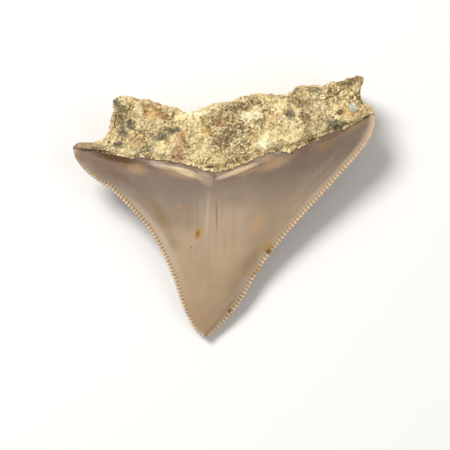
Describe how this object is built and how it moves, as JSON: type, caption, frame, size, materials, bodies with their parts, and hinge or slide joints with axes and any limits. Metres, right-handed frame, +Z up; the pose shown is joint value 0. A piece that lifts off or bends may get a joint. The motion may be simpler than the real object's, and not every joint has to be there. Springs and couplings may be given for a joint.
{
  "type": "megalodon tooth",
  "caption": "Fossil shark tooth: flat-faced triangular crown, finely serrated cutting edges, V-shaped enamel base and a broken root crusted with rock.",
  "frame": {"origin": "middle of the tooth's footprint box, on the surface that it rests on", "axes": "+X across the shoulders towards the longer cutting edge, +Y along the surface from the tip to the root, +Z up, on the side of the labial face"},
  "size_m": [0.0514, 0.0422, 0.0125],
  "materials": {
    "fossil": "satin grey-beige enamel on the crown, rough cream-yellow root and matrix"
  },
  "bodies": {
    "root": {"tooth": "fossil"}
  },
  "joints": []
}
